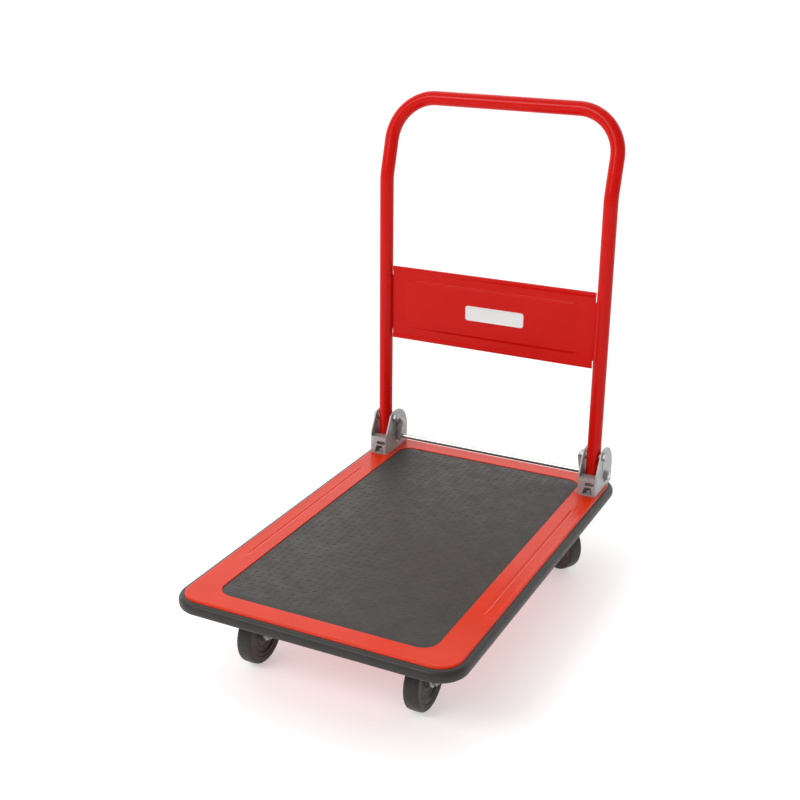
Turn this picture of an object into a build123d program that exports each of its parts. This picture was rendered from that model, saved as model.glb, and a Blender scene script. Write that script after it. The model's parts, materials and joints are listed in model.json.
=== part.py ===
from build123d import *
import os
from math import cos, hypot, radians, sin, sqrt, tan

# Folding platform cart, in millimetres. The floor is z = 0 and +Z is up, +Y points to the handle end
# and +X to the right of someone who stands at the open end and looks at the handle.

# Overall sizes
cart_width = 480.0  # over the bumper
cart_length = 740.0
castor_room = 40.0  # top of the wheels to the top of the steel border
handle_height = 668.0  # deck to the centre line of the handle's top bar

# Fits
running_clearance = 0.08  # radial, a pin that turns in its hole
free_clearance = 0.3  # between pieces that move past each other
bolt_clearance = 0.5  # radial, a bolt in a plain hole

# Deck tray, mat and bumper
deck_sheet = 1.5
bumper_bulge = 9.5  # how far the bumper stands out from the tray
bumper_drop = 3.0  # top of the bumper below the deck
bumper_height = 20.0
bumper_round = 8.5
bumper_lip = 2.0  # hook under the tray's rim
bumper_lip_reach = 5.0
tray_corner = 36.0
tray_edge_round = 3.0
mat_side_border = 49.0
mat_end_border = 37.0
mat_corner = 26.0
mat_gap = 0.5
mat_thickness = 1.8
recess_depth = 3.0
groove_inset = 23.5  # groove centre line from the tray's side
groove_end_inset = 158.0
groove_width = 3.2
groove_depth = 1.2

# Stiffeners welded under the deck
stiffener_offset = 58.0
stiffener_width = 56.0
stiffener_height = 15.0
stiffener_flange = 11.0
stiffener_gap = 4.0  # to the castor mounting plates

# Handle
tube_radius = 12.5
tube_wall = 1.5
handle_side_inset = 21.5  # tube centre from the tray's side
handle_end_inset = 61.5  # tube centre from the tray's rear end
pivot_height = 67.0  # above the deck
kink_drop = 138.0  # below the top bar, where the handle starts to lean back
lean_angle = 16.4
kink_bend = 60.0
corner_bend = 77.0
plug_flange = 2.0
plug_depth = 14.0
plug_flange_inset = 0.2

# Cross panel between the handle's tubes
panel_bottom = 229.0  # above the deck
panel_top = 367.0
panel_sheet = 1.2
panel_end_gap = 2.0  # slits between the rolled edges and the tubes
panel_roll_height = 9.0
panel_roll_thickness = 3.6
panel_tab_inset = 17.0  # tabs end this far from the panel's top and bottom
panel_tab_wrap = 75.0  # degrees round the tube
panel_field_inset = 24.5
panel_field_end_inset = 38.0
panel_field_rise = 2.6
panel_field_corner = 12.0
badge_width = 112.0
badge_height = 27.0
badge_thickness = 1.0
badge_corner = 5.0
badge_edge_round = 0.3
badge_offset = 9.0
badge_rise = 298.0  # centre of the badge above the deck

# Hinge brackets
bracket_sheet = 2.5
bracket_front_reach = 31.0  # front plate ahead of the pivot
bracket_rear_reach = 58.0
bracket_crest_rise = 12.5  # above the pivot
bracket_crest_reach = 8.0  # highest point behind the pivot
bracket_front_drop = 29.0  # where the ears start to slant back, below the pivot
bracket_shoulder_rise = 4.0
bracket_shoulder_reach = 13.0
bracket_rear_drop = 33.0
bracket_lip_lap = 3.4  # stop lip over the lower end of the tube
bracket_floor_reach = 13.0  # floor plate behind the pivot
bracket_corner = 3.5
slot_height = 22.5
slot_width = 18.0
slot_depth = 6.5
slot_shift = 5.0
niche_width = 19.0
niche_height = 14.0
niche_sill = 2.5
niche_shift = 1.5
niche_depth = 19.0
niche_back_height = 11.0
rib_length = 20.0
rib_width = 7.0
rib_rise = 0.9
rib_drop = 18.0  # below the pivot

# Bolts
bolt_radius = 4.0
bolt_head_flats = 13.0
bolt_head_height = 5.3
nut_height = 6.5
bolt_tail = 2.5
bracket_bolt_front_reach = 16.0  # ahead of the pivot
bracket_bolt_rear_reach = 4.0  # behind the pivot
bracket_bolt_shift = 1.5
spacer_radius = 8.0
spacer_thickness = 2.2
sleeve_radius = 6.0

# Release bar, links and return springs
rod_radius = 5.0
rod_height = 25.0  # above the deck
rod_reach = 18.0  # behind the pivot
rod_travel = 9.0
rod_nut_flats = 15.0
rod_nut_height = 7.0
rod_tail = 1.5
rod_chamfer = 0.7
link_sheet = 2.5
link_width = 15.0
link_foot_width = 9.0
link_front_reach = 9.0  # link face behind the pivot
link_depth = 15.0
link_top_drop = 2.0  # below the pivot
link_foot = 18.0
link_crown_round = 5.0
pin_radius = 2.5
pin_height = 40.0
pin_reach = 17.0
pin_head_radius = 4.5
pin_head = 2.2
spring_radius = 4.4
spring_wire = 1.2
spring_turns = 6.0

# Castors
castor_side_inset = 87.5  # castor centre from the tray's side
castor_end_inset = 96.5
castor_plate_long = 100.0
castor_plate_short = 80.0
castor_plate_corner = 8.0
castor_sheet = 2.5
castor_holes_long = 80.0
castor_holes_short = 60.0
mount_sheet = 2.0
mount_side_margin = 1.0
mount_end_margin = 6.0
mount_hole_length = 140.0
mount_hole_width = 36.0
stud_length = 11.5
wheel_radius = 50.0
tyre_width = 25.0
tyre_thickness = 12.0
tyre_round = 4.0
core_width = 26.0
core_hub_radius = 12.0
core_rim_width = 22.0
core_rim_thickness = 5.0
core_web = 16.0
bush_radius = 6.0
fork_inside = 27.0
fork_sheet = 2.5
fork_tip = 11.0
fork_fixed_length = 70.0
fork_head_length = 48.0
fork_head_shift = 4.0
swivel_trail = 32.0
swivel_heading = -31.0  # the rear castors trail this way, in degrees from +X
swivel_head_radius = 25.0
swivel_drop = 12.0  # castor plate down to the fork's crown
race_bore = 14.0
ball_ring = 19.0
ball_radius = 2.75
ball_count = 18
kingpin_radius = 6.0
kingpin_head_radius = 10.0
kingpin_head = 5.6

# Places worked out from the sizes above
deck_height = 2 * wheel_radius + castor_room
tray_width = cart_width - 2 * bumper_bulge
tray_length = cart_length - 2 * bumper_bulge
bumper_top = deck_height - bumper_drop
bumper_bottom = bumper_top - bumper_height
rim_bottom = bumper_bottom + bumper_lip
mat_width = tray_width - 2 * mat_side_border
mat_length = tray_length - 2 * mat_end_border
recess_floor = deck_height - recess_depth
recess_underside = recess_floor - deck_sheet
mount_underside = recess_underside - mount_sheet
tube_x = tray_width / 2 - handle_side_inset
pivot_y = tray_length / 2 - handle_end_inset
pivot_z = deck_height + pivot_height
rod_distance = hypot(rod_reach, pivot_height - rod_height)  # from the pivot
foot_reach = rod_distance - rod_radius - free_clearance  # to the tube's corner, just short of the rod
tube_below_pivot = sqrt(foot_reach**2 - tube_radius**2)
tube_bottom = pivot_z - tube_below_pivot + plug_flange
handle_top = deck_height + handle_height
kink_z = handle_top - kink_drop
lean_back = (handle_top - kink_z) * tan(radians(lean_angle))
bracket_inside = 2 * (tube_radius + free_clearance + spacer_thickness)
bracket_outside = bracket_inside + 2 * bracket_sheet
bracket_top = pivot_height + bracket_crest_rise
bracket_front_height = pivot_height - bracket_front_drop
bracket_shoulder_height = pivot_height + bracket_shoulder_rise
bracket_rear_height = pivot_height - bracket_rear_drop
bracket_lip_height = tube_bottom - deck_height + bracket_lip_lap
link_top = pivot_height - link_top_drop
tyre_bore = wheel_radius - tyre_thickness
bracket_front = pivot_y - bracket_front_reach
rod_y = pivot_y + rod_reach
castor_x = tray_width / 2 - castor_side_inset
castor_y = tray_length / 2 - castor_end_inset
castor_underside = mount_underside - castor_sheet
fork_outside = fork_inside + 2 * fork_sheet
crown_top = castor_underside - swivel_drop
crown_bottom = crown_top - fork_sheet


pieces = {}  # node name to finished part


def keep(name, part):
    """Store a finished piece under the name of its node."""
    pieces[name] = part


def side_plane(x):
    """Plane at x facing +X, drawn in (Y, height above the deck)."""
    return Plane(origin=(x, 0, deck_height), x_dir=(0, 1, 0), z_dir=(1, 0, 0))


def front_plane(y):
    """Plane at y facing the open end, drawn in (X, height above the deck)."""
    return Plane(origin=(0, y, deck_height), x_dir=(1, 0, 0), z_dir=(0, -1, 0))


def castor_frame(x, y, heading):
    """Plane on the floor under a castor's mounting centre, with its x axis along the trail."""
    along = (cos(radians(heading)), sin(radians(heading)), 0)
    return Plane(origin=(x, y, 0), x_dir=along, z_dir=(0, 0, 1))


def leg_plane(frame, offset):
    """Plane square to a castor's axle, drawn in (distance along the trail, height)."""
    return Plane(origin=frame.origin + frame.y_dir * offset, x_dir=frame.x_dir, z_dir=-frame.y_dir)


def axle_plane(frame, trail):
    """Plane through a castor's axle, drawn in (distance along the axle, height above it)."""
    centre = frame.origin + frame.x_dir * trail + frame.z_dir * wheel_radius
    return Plane(origin=centre, x_dir=frame.y_dir, z_dir=frame.x_dir)


# ---------------------------------------------------------------- deck

with BuildPart() as deck_tray:
    # Pan with its rim turned down.
    with BuildSketch(Plane.XY.offset(rim_bottom)):
        RectangleRounded(tray_width, tray_length, tray_corner)
    extrude(amount=deck_height - rim_bottom)
    fillet(deck_tray.faces().sort_by(Axis.Z)[-1].edges(), tray_edge_round)
    with BuildSketch(Plane.XY.offset(rim_bottom)):
        RectangleRounded(tray_width - 2 * deck_sheet, tray_length - 2 * deck_sheet,
                         tray_corner - deck_sheet)
    extrude(amount=deck_height - deck_sheet - rim_bottom, mode=Mode.SUBTRACT)
    # Pressed recess for the mat, one sheet thick.
    with BuildSketch(Plane.XY.offset(recess_underside)):
        RectangleRounded(mat_width + 2 * (mat_gap + deck_sheet), mat_length + 2 * (mat_gap + deck_sheet),
                         mat_corner + mat_gap + deck_sheet)
    extrude(amount=recess_depth)
    with BuildSketch(Plane.XY.offset(recess_floor)):
        RectangleRounded(mat_width + 2 * mat_gap, mat_length + 2 * mat_gap, mat_corner + mat_gap)
    extrude(amount=recess_depth, mode=Mode.SUBTRACT)
    # Pressed groove along each side of the border.
    groove_length = tray_length - 2 * groove_end_inset
    groove_x = tray_width / 2 - groove_inset
    with BuildSketch(Plane.XY.offset(deck_height - deck_sheet - groove_depth)):
        with Locations((-groove_x, 0), (groove_x, 0)):
            SlotOverall(groove_length + 2 * deck_sheet, groove_width + 2 * deck_sheet, rotation=90)
    extrude(amount=deck_sheet)
    with BuildSketch(Plane.XY.offset(deck_height)):
        with Locations((-groove_x, 0), (groove_x, 0)):
            SlotOverall(groove_length, groove_width, rotation=90)
    extrude(amount=-groove_depth, mode=Mode.SUBTRACT)
    # Holes for the bracket bolts.
    with BuildSketch(Plane.XY.offset(deck_height)):
        for tube in (-tube_x, tube_x):
            with Locations((tube + bracket_bolt_shift, pivot_y - bracket_bolt_front_reach),
                           (tube + bracket_bolt_shift, pivot_y + bracket_bolt_rear_reach)):
                Circle(bolt_radius + bolt_clearance)
    extrude(amount=-recess_depth, mode=Mode.SUBTRACT)
keep("deck_tray", deck_tray.part)

with BuildPart() as anti_slip_mat:
    with BuildSketch(Plane.XY.offset(recess_floor)):
        RectangleRounded(mat_width, mat_length, mat_corner)
    extrude(amount=mat_thickness)
keep("anti_slip_mat", anti_slip_mat.part)

with BuildPart() as edge_bumper:
    with BuildSketch(Plane.XY.offset(bumper_bottom)):
        RectangleRounded(cart_width, cart_length, tray_corner + bumper_bulge)
    extrude(amount=bumper_height)
    fillet(edge_bumper.faces().sort_by(Axis.Z)[-1].edges(), bumper_round)
    fillet(edge_bumper.faces().sort_by(Axis.Z)[0].edges(), bumper_round)
    with BuildSketch(Plane.XY.offset(rim_bottom)):
        RectangleRounded(tray_width, tray_length, tray_corner)
    extrude(amount=bumper_height, mode=Mode.SUBTRACT)
    with BuildSketch(Plane.XY.offset(bumper_bottom)):
        RectangleRounded(tray_width - 2 * bumper_lip_reach, tray_length - 2 * bumper_lip_reach,
                         tray_corner - bumper_lip_reach)
    extrude(amount=bumper_lip, mode=Mode.SUBTRACT)
keep("edge_bumper", edge_bumper.part)

# ---------------------------------------------------------------- under the deck

mount_width = 2 * castor_x + castor_plate_short + 2 * mount_side_margin
mount_length = castor_plate_long + 2 * mount_end_margin
for end, sign in (("front", -1), ("rear", 1)):
    with BuildPart() as castor_mount_plate:
        with BuildSketch(Plane.XY.offset(mount_underside)):
            with Locations((0, sign * castor_y)):
                RectangleRounded(mount_width, mount_length, castor_plate_corner)
                # Lightening hole between the two castors.
                SlotOverall(mount_hole_length, mount_hole_width, mode=Mode.SUBTRACT)
        extrude(amount=mount_sheet)
    keep(f"castor_mount_plate_{end}", castor_mount_plate.part)

stiffener_run = 2 * (castor_y - mount_length / 2 - stiffener_gap)
for side, sign in (("left", -1), ("right", 1)):
    with BuildPart() as deck_stiffener:
        # Hat section, open to the deck, with two flanges welded to it.
        with BuildSketch(Plane.XZ.offset(stiffener_run / 2)):
            with Locations((sign * stiffener_offset, recess_underside - stiffener_height / 2)):
                Rectangle(stiffener_width, stiffener_height)
                Rectangle(stiffener_width - 2 * deck_sheet, stiffener_height - 2 * deck_sheet,
                          mode=Mode.SUBTRACT)
            with Locations((sign * stiffener_offset, recess_underside - deck_sheet / 2)):
                Rectangle(stiffener_width + 2 * stiffener_flange, deck_sheet)
                Rectangle(stiffener_width - 2 * deck_sheet, deck_sheet, mode=Mode.SUBTRACT)
        extrude(amount=-stiffener_run)
        fillet(deck_stiffener.edges().filter_by(Axis.Y).group_by(Axis.Z)[0], deck_sheet)
    keep(f"deck_stiffener_{side}", deck_stiffener.part)

# ---------------------------------------------------------------- hinge brackets


def hinge_bracket(centre):
    """Pressed U bracket: front plate with a stop lip, floor plate and two ears."""
    front_edge = bracket_front
    rear_edge = pivot_y + bracket_rear_reach
    crest_y = pivot_y + bracket_crest_reach
    with BuildPart() as bracket:
        for sign in (-1, 1):
            with BuildSketch(side_plane(centre + sign * bracket_inside / 2)):
                with BuildLine():
                    foot = Line((rear_edge, 0), (front_edge, 0))
                    front = Line(foot @ 1, (front_edge, bracket_front_height))
                    slant = Line(front @ 1, (pivot_y - bracket_shoulder_reach, bracket_shoulder_height))
                    Spline(slant @ 1, (crest_y, bracket_top), tangents=(slant % 1, (1, 0)))
                    Line((rear_edge, bracket_rear_height), (rear_edge, 0))
                    EllipticalCenterArc((crest_y, bracket_rear_height), rear_edge - crest_y,
                                        bracket_top - bracket_rear_height, 0, arc_size=90)
                make_face()
                with Locations((pivot_y, pivot_height)):
                    Circle(bolt_radius + running_clearance, mode=Mode.SUBTRACT)
                with Locations((rod_y, rod_height - rod_travel / 2)):
                    SlotOverall(rod_travel + 2 * (rod_radius + free_clearance),
                                2 * (rod_radius + free_clearance), rotation=90, mode=Mode.SUBTRACT)
            extrude(amount=sign * bracket_sheet)
        # Front plate, floor and stop lip.
        with BuildSketch(front_plane(front_edge)):
            with Locations((centre, bracket_lip_height / 2)):
                Rectangle(bracket_outside, bracket_lip_height)
        extrude(amount=-bracket_sheet)
        upright_edges = bracket.edges().filter_by(Axis.Z).group_by(Axis.Y)[0].sort_by(Axis.X)
        fillet([upright_edges[0], upright_edges[-1]], bracket_corner)
        lip_rear = pivot_y - tube_radius - free_clearance
        floor_rear = pivot_y + bracket_floor_reach
        for height, rear in ((0, floor_rear), (bracket_lip_height - bracket_sheet, lip_rear)):
            with BuildSketch(Plane.XY.offset(deck_height + height)):
                with Locations((centre, (front_edge + bracket_sheet + rear) / 2)):
                    Rectangle(bracket_inside, rear - front_edge - bracket_sheet)
            extrude(amount=bracket_sheet)
        # Sight slot and the niche over the front bolt.
        with BuildSketch(front_plane(front_edge)):
            with Locations((centre + slot_shift, slot_height)):
                SlotOverall(slot_width, slot_depth)
            with Locations((centre + niche_shift, niche_sill + niche_height / 2)):
                Trapezoid(niche_width, niche_height, 76)
        extrude(amount=-bracket_sheet, mode=Mode.SUBTRACT)
        niche_roof = niche_sill + niche_height
        with BuildSketch(side_plane(centre + niche_shift - niche_width / 2)):
            with BuildLine():
                Polyline((front_edge + bracket_sheet, niche_roof + bracket_sheet),
                         (front_edge + bracket_sheet + niche_depth, niche_back_height + bracket_sheet),
                         (front_edge + bracket_sheet + niche_depth, niche_back_height),
                         (front_edge + bracket_sheet, niche_roof), close=True)
            make_face()
        extrude(amount=niche_width)
        # Bolt holes in the floor.
        with BuildSketch(Plane.XY.offset(deck_height)):
            with Locations((centre + bracket_bolt_shift, pivot_y - bracket_bolt_front_reach),
                           (centre + bracket_bolt_shift, pivot_y + bracket_bolt_rear_reach)):
                Circle(bolt_radius)
        extrude(amount=bracket_sheet, mode=Mode.SUBTRACT)
        # Pressed rib on the outside of each ear.
        for sign in (-1, 1):
            with BuildSketch(side_plane(centre + sign * bracket_outside / 2)):
                with Locations((pivot_y + rib_width / 2, pivot_height - rib_drop)):
                    SlotOverall(rib_length, rib_width, rotation=90)
            extrude(amount=sign * rib_rise)
    return bracket.part


keep("hinge_bracket_left", hinge_bracket(-tube_x))
keep("hinge_bracket_right", hinge_bracket(tube_x))

bracket_bolt_places = [
    (tube + bracket_bolt_shift, pivot_y + reach)
    for tube in (-tube_x, tube_x)
    for reach in (-bracket_bolt_front_reach, bracket_bolt_rear_reach)
]
deck_underside = deck_height - deck_sheet

with BuildPart() as bracket_bolts:
    with BuildSketch(Plane.XY.offset(deck_height + bracket_sheet)):
        with Locations(bracket_bolt_places):
            RegularPolygon(bolt_head_flats / 2, 6, major_radius=False)
    extrude(amount=bolt_head_height)
    with BuildSketch(Plane.XY.offset(deck_height + bracket_sheet)):
        with Locations(bracket_bolt_places):
            Circle(bolt_radius)
    extrude(amount=-(bracket_sheet + deck_sheet + nut_height + bolt_tail))
keep("bracket_bolts", bracket_bolts.part)

with BuildPart() as bracket_nuts:
    with BuildSketch(Plane.XY.offset(deck_underside)):
        with Locations(bracket_bolt_places):
            RegularPolygon(bolt_head_flats / 2, 6, major_radius=False)
            Circle(bolt_radius, mode=Mode.SUBTRACT)
    extrude(amount=-nut_height)
keep("bracket_nuts", bracket_nuts.part)

# Pivot bolts: heads outside the cart, nuts towards its middle.
with BuildPart() as pivot_bolts:
    for sign in (-1, 1):
        head_face = sign * (tube_x + bracket_outside / 2)
        with BuildSketch(side_plane(head_face)):
            with Locations((pivot_y, pivot_height)):
                RegularPolygon(bolt_head_flats / 2, 6, major_radius=False)
        extrude(amount=sign * bolt_head_height)
        with BuildSketch(side_plane(head_face)):
            with Locations((pivot_y, pivot_height)):
                Circle(bolt_radius)
        extrude(amount=-sign * (bracket_outside + nut_height + bolt_tail))
keep("pivot_bolts", pivot_bolts.part)

with BuildPart() as pivot_nuts:
    for sign in (-1, 1):
        with BuildSketch(side_plane(sign * (tube_x - bracket_outside / 2))):
            with Locations((pivot_y, pivot_height)):
                RegularPolygon(bolt_head_flats / 2, 6, major_radius=False)
                Circle(bolt_radius, mode=Mode.SUBTRACT)
        extrude(amount=-sign * nut_height)
keep("pivot_nuts", pivot_nuts.part)

with BuildPart() as pivot_spacers:
    for tube in (-tube_x, tube_x):
        for sign in (-1, 1):
            with BuildSketch(side_plane(tube + sign * bracket_inside / 2)):
                with Locations((pivot_y, pivot_height)):
                    Circle(spacer_radius)
                    Circle(bolt_radius, mode=Mode.SUBTRACT)
            extrude(amount=-sign * spacer_thickness)
keep("pivot_spacers", pivot_spacers.part)

# ---------------------------------------------------------------- handle

handle_y = pivot_y + lean_back
with BuildPart() as handle_tube:
    with BuildLine() as handle_path:
        FilletPolyline((-tube_x, pivot_y, tube_bottom), (-tube_x, pivot_y, kink_z),
                       (-tube_x, handle_y, handle_top), (tube_x, handle_y, handle_top),
                       (tube_x, pivot_y, kink_z), (tube_x, pivot_y, tube_bottom),
                       radius=[kink_bend, corner_bend, corner_bend, kink_bend])
    with BuildSketch(Plane(origin=(-tube_x, pivot_y, tube_bottom), z_dir=(0, 0, 1))):
        Circle(tube_radius)
        Circle(tube_radius - tube_wall, mode=Mode.SUBTRACT)
    sweep(path=handle_path.wires()[0])
    # Cross holes that the pivot sleeves are welded into.
    with BuildSketch(side_plane(0)):
        with Locations((pivot_y, pivot_height)):
            Circle(sleeve_radius)
    extrude(amount=cart_width / 2, both=True, mode=Mode.SUBTRACT)
keep("handle_tube", handle_tube.part)

with BuildPart() as pivot_sleeves:
    for tube in (-tube_x, tube_x):
        with BuildSketch(side_plane(tube - tube_radius)):
            with Locations((pivot_y, pivot_height)):
                Circle(sleeve_radius)
                Circle(bolt_radius + running_clearance, mode=Mode.SUBTRACT)
        extrude(amount=2 * tube_radius)
keep("pivot_sleeves", pivot_sleeves.part)

with BuildPart() as tube_end_plugs:
    with BuildSketch(Plane.XY.offset(tube_bottom)):
        with Locations((-tube_x, pivot_y), (tube_x, pivot_y)):
            Circle(tube_radius - plug_flange_inset)
    extrude(amount=-plug_flange)
    with BuildSketch(Plane.XY.offset(tube_bottom)):
        with Locations((-tube_x, pivot_y), (tube_x, pivot_y)):
            Circle(tube_radius - tube_wall)
    extrude(amount=plug_depth)
keep("tube_end_plugs", tube_end_plugs.part)

panel_middle = (panel_bottom + panel_top) / 2
panel_height = panel_top - panel_bottom
panel_half = tube_x - tube_radius
tab_height = panel_height - 2 * panel_tab_inset
with BuildPart() as cross_panel:
    # Flat web, full width only where the tabs reach the tubes.
    with BuildSketch(front_plane(pivot_y - panel_sheet / 2)):
        with Locations((0, panel_middle)):
            Rectangle(2 * (panel_half - panel_end_gap), panel_height - panel_roll_height)
            Rectangle(2 * panel_half, tab_height)
    extrude(amount=-panel_sheet)
    # Rolled top and bottom edges.
    with BuildSketch(Plane.YZ.offset(-(panel_half - panel_end_gap))):
        with Locations((pivot_y, deck_height + panel_bottom + panel_roll_height / 2),
                       (pivot_y, deck_height + panel_top - panel_roll_height / 2)):
            SlotOverall(panel_roll_height, panel_roll_thickness, rotation=90)
    extrude(amount=2 * (panel_half - panel_end_gap))
    # Field pressed out towards the deck, hollow behind.
    field_width = 2 * (panel_half - panel_field_end_inset)
    field_height = panel_height - 2 * panel_field_inset
    with BuildSketch(front_plane(pivot_y - panel_sheet / 2)):
        with Locations((0, panel_middle)):
            RectangleRounded(field_width, field_height, panel_field_corner)
    extrude(amount=panel_field_rise, taper=45)
    with BuildSketch(front_plane(pivot_y + panel_sheet / 2)):
        with Locations((0, panel_middle)):
            RectangleRounded(field_width - panel_sheet, field_height - panel_sheet, panel_field_corner)
    extrude(amount=panel_field_rise, taper=45, mode=Mode.SUBTRACT)
    # Tabs that wrap round the front of each tube.
    for sign in (-1, 1):
        start = 180 if sign > 0 else -panel_tab_wrap
        with BuildSketch(Plane.XY.offset(deck_height + panel_middle - tab_height / 2)):
            with BuildLine():
                centre = (sign * tube_x, pivot_y)
                inner = CenterArc(centre, tube_radius, start, panel_tab_wrap)
                outer = CenterArc(centre, tube_radius + panel_sheet, start, panel_tab_wrap)
                Line(inner @ 0, outer @ 0)
                Line(inner @ 1, outer @ 1)
            make_face()
        extrude(amount=tab_height)
keep("cross_panel", cross_panel.part)

field_face = pivot_y - panel_sheet / 2 - panel_field_rise
with BuildPart() as badge_plate:
    with BuildSketch(front_plane(field_face)):
        with Locations((badge_offset, badge_rise)):
            RectangleRounded(badge_width, badge_height, badge_corner)
    extrude(amount=badge_thickness)
    fillet(badge_plate.faces().sort_by(Axis.Y)[0].edges(), badge_edge_round)
keep("badge_plate", badge_plate.part)

# ---------------------------------------------------------------- release bar

rod_end = tube_x + bracket_outside / 2 + free_clearance + rod_nut_height + rod_tail
with BuildPart() as release_rod:
    with BuildSketch(side_plane(-rod_end)):
        with Locations((rod_y, rod_height)):
            Circle(rod_radius)
    extrude(amount=2 * rod_end)
    chamfer(release_rod.edges().filter_by(GeomType.CIRCLE), rod_chamfer)
keep("release_rod", release_rod.part)

with BuildPart() as release_rod_nuts:
    for sign in (-1, 1):
        with BuildSketch(side_plane(sign * (tube_x + bracket_outside / 2 + free_clearance))):
            with Locations((rod_y, rod_height)):
                RegularPolygon(rod_nut_flats / 2, 6, major_radius=False)
                Circle(rod_radius, mode=Mode.SUBTRACT)
        extrude(amount=sign * rod_nut_height)
keep("release_rod_nuts", release_rod_nuts.part)


def release_link(sign):
    """Angle-section link beside a bracket: a rod eye at its foot and a slot that the guide pin holds."""
    flange_x = sign * (tube_x - bracket_outside / 2 - free_clearance)
    face_y = pivot_y + link_front_reach
    with BuildPart() as link:
        with BuildSketch(front_plane(face_y)):
            with BuildLine():
                edge = flange_x
                far = flange_x - sign * link_width
                foot = flange_x - sign * link_foot_width
                Polyline((edge, link_foot), (edge, link_top - link_width / 2),
                         (edge - sign * link_width / 2, link_top), (far, link_top - link_width / 2),
                         (foot, link_foot), close=True)
            make_face()
        extrude(amount=-link_sheet)
        with BuildSketch(side_plane(flange_x)):
            with Locations((face_y + link_depth / 2, (link_top - link_width / 2 + link_foot) / 2)):
                RectangleRounded(link_depth, link_top - link_width / 2 - link_foot, link_sheet)
            with Locations((rod_y, rod_height)):
                Circle(rod_radius, mode=Mode.SUBTRACT)
            with Locations((pivot_y + pin_reach, pin_height + rod_travel / 2)):
                SlotOverall(rod_travel + 2 * (pin_radius + free_clearance),
                            2 * (pin_radius + free_clearance), rotation=90, mode=Mode.SUBTRACT)
        extrude(amount=-sign * link_sheet)
        fillet(link.edges().filter_by(Axis.Y).group_by(Axis.Z)[-1], link_crown_round)
    return link.part


keep("release_link_left", release_link(-1))
keep("release_link_right", release_link(1))

with BuildPart() as link_guide_pins:
    for sign in (-1, 1):
        ear_face = sign * (tube_x - bracket_outside / 2)
        shank = link_sheet + 2 * free_clearance
        with BuildSketch(side_plane(ear_face)):
            with Locations((pivot_y + pin_reach, pin_height)):
                Circle(pin_radius)
        extrude(amount=-sign * shank)
        with BuildSketch(side_plane(ear_face - sign * shank)):
            with Locations((pivot_y + pin_reach, pin_height)):
                Circle(pin_head_radius)
        extrude(amount=-sign * pin_head)
keep("link_guide_pins", link_guide_pins.part)

spring_height = rod_height - rod_radius - spring_wire
with BuildPart() as release_springs:
    for tube in (-tube_x, tube_x):
        foot = (tube, rod_y, deck_height + spring_wire / 2)
        with BuildLine() as coil:
            Helix(spring_height / spring_turns, spring_height, spring_radius - spring_wire / 2, center=foot)
        with BuildSketch(Plane(origin=coil.line @ 0, z_dir=coil.line % 0)):
            Circle(spring_wire / 2)
        sweep(path=coil.line, is_frenet=True)
keep("release_springs", release_springs.part)

# ---------------------------------------------------------------- castors


def leg_outline(plane, trail, top, top_length, top_shift):
    """Fork leg on its plane, tapering from its root at the top to a round tip about the axle."""
    with BuildSketch(plane) as leg:
        with Locations((trail, wheel_radius)):
            Circle(fork_tip)
        with Locations((top_shift, top - fork_sheet / 2)):
            Rectangle(top_length, fork_sheet)
        make_hull()
        with Locations((trail, wheel_radius)):
            Circle(bolt_radius, mode=Mode.SUBTRACT)
    return leg.sketch


def castor_plate_outline(centre):
    """Top plate with its four bolt holes, long side along the cart."""
    with BuildSketch(Plane.XY.offset(castor_underside)) as outline:
        with Locations(centre):
            RectangleRounded(castor_plate_short, castor_plate_long, castor_plate_corner)
            with GridLocations(castor_holes_short, castor_holes_long, 2, 2):
                Circle(bolt_radius + bolt_clearance, mode=Mode.SUBTRACT)
    return outline.sketch


def wheel_tyre(frame, trail):
    """Rubber tyre, turned about the axle."""
    plane = axle_plane(frame, trail)
    with BuildPart() as tyre:
        with BuildSketch(plane) as profile:
            with Locations((0, (tyre_bore + wheel_radius) / 2)):
                Rectangle(tyre_width, wheel_radius - tyre_bore)
            fillet(profile.vertices().group_by(Axis.Y)[-1], tyre_round)
        revolve(axis=Axis(plane.origin, plane.x_dir))
    return tyre.part


def wheel_core(frame, trail):
    """Moulded wheel centre: hub, web and rim."""
    plane = axle_plane(frame, trail)
    bore = bush_radius + running_clearance
    rim_inner = tyre_bore - core_rim_thickness
    with BuildPart() as core:
        with BuildSketch(plane):
            with Locations((0, (bore + core_hub_radius) / 2)):
                Rectangle(core_width, core_hub_radius - bore)
            with Locations((0, (core_hub_radius + rim_inner) / 2)):
                Rectangle(core_web, rim_inner - core_hub_radius)
            with Locations((0, (rim_inner + tyre_bore) / 2)):
                Rectangle(core_rim_width, core_rim_thickness)
        revolve(axis=Axis(plane.origin, plane.x_dir))
    return core.part


def axle_bush(frame, trail):
    """Steel bush clamped between the fork's legs, which the wheel turns on."""
    with BuildPart() as bush:
        with BuildSketch(leg_plane(frame, 0)):
            with Locations((trail, wheel_radius)):
                Circle(bush_radius)
                Circle(bolt_radius, mode=Mode.SUBTRACT)
        extrude(amount=fork_inside / 2, both=True)
    return bush.part


def axle_bolt(frame, trail):
    """Hexagon bolt through the fork and the bush."""
    with BuildPart() as bolt:
        with BuildSketch(leg_plane(frame, fork_outside / 2)):
            with Locations((trail, wheel_radius)):
                RegularPolygon(bolt_head_flats / 2, 6, major_radius=False)
        extrude(amount=-bolt_head_height)
        with BuildSketch(leg_plane(frame, fork_outside / 2)):
            with Locations((trail, wheel_radius)):
                Circle(bolt_radius)
        extrude(amount=fork_outside + nut_height + bolt_tail)
    return bolt.part


def axle_nut(frame, trail):
    """Nut at the other end of the axle bolt."""
    with BuildPart() as nut:
        with BuildSketch(leg_plane(frame, -fork_outside / 2)):
            with Locations((trail, wheel_radius)):
                RegularPolygon(bolt_head_flats / 2, 6, major_radius=False)
                Circle(bolt_radius, mode=Mode.SUBTRACT)
        extrude(amount=nut_height)
    return nut.part


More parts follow.
